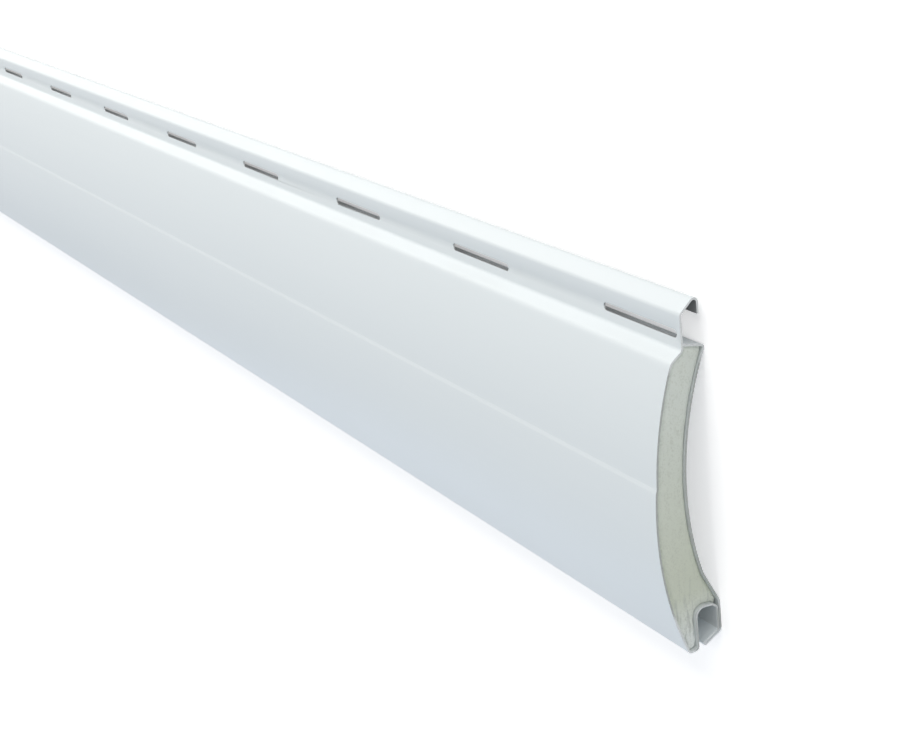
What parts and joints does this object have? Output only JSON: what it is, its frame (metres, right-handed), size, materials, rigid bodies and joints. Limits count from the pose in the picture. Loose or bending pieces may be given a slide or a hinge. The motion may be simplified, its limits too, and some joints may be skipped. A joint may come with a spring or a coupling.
{
  "type": "roller shutter slat",
  "caption": "Roll-formed, foam-filled roller shutter slat with a curved front, a slotted web, a hook along its top edge and a pocket along its bottom edge for the next slat's hook.",
  "frame": {"origin": "centre of the slat's footprint, on the surface that it lies on", "axes": "+X along the length, +Y from the bottom edge towards the hook, +Z from the back towards the curved front face"},
  "size_m": [1, 0.066, 0.0126],
  "materials": {
    "white_paint": "satin",
    "foam": "matte"
  },
  "bodies": {
    "root": {"slat_skin": "white_paint", "foam_core": "foam"}
  },
  "joints": []
}
